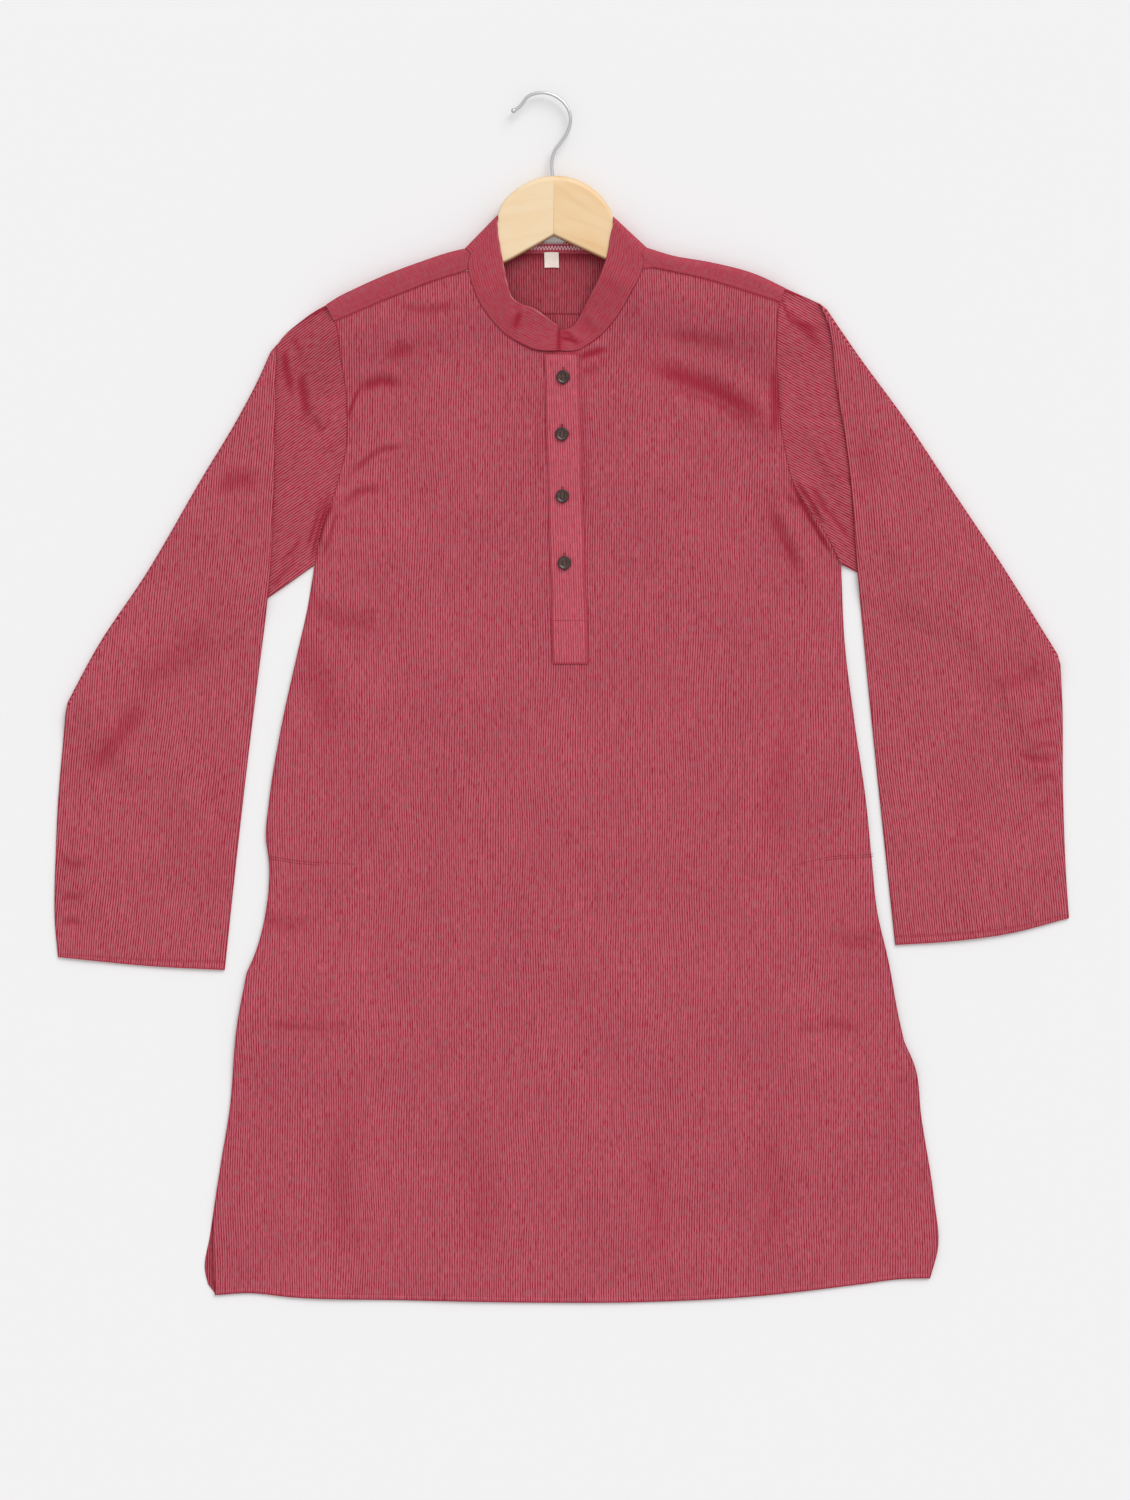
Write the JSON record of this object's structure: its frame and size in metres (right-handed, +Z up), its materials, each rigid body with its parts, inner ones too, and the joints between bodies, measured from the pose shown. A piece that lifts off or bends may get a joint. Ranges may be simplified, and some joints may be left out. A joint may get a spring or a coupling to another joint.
{
  "type": "kurta tunic on a hanger",
  "caption": "Long band-collar tunic lying flat with its sleeves folded forward, and a wooden hanger with a wire hook inside its shoulders.",
  "frame": {"origin": "middle of the garment's outline, on the surface that it lies on", "axes": "+Z up from the surface, +Y towards the collar and the hanger's hook, +X towards the sleeve on the right as seen from above"},
  "size_m": [0.9638, 1.1499, 0.0166],
  "materials": {
    "body_cloth": "fine yarn-dyed red stripe, matt",
    "yoke_cloth": "fine red stripe, matt",
    "collar_cloth": "fine red stripe along the band, matt",
    "sleeve_cloth": "fine red stripe along the sleeve, matt",
    "placket_cloth": "fine red stripe, pressed and stitched",
    "bag_cloth": "plain matt",
    "label_tape": "woven satin tape, bare",
    "button_horn": "polished brown horn",
    "hanger_wood": "pale wood, satin lacquer",
    "hook_steel": "bright wire"
  },
  "bodies": {
    "root": {"back_panel": "body_cloth", "front_panel": "body_cloth", "yoke": "yoke_cloth", "collar": "collar_cloth", "sleeve_left": "sleeve_cloth", "sleeve_right": "sleeve_cloth", "placket": "placket_cloth", "pocket_left": "bag_cloth", "pocket_right": "bag_cloth", "label": "label_tape", "button_1": "button_horn", "button_2": "button_horn", "button_3": "button_horn", "button_4": "button_horn", "hanger_arm_left": "hanger_wood", "hanger_arm_right": "hanger_wood", "hanger_hook": "hook_steel"}
  },
  "joints": []
}
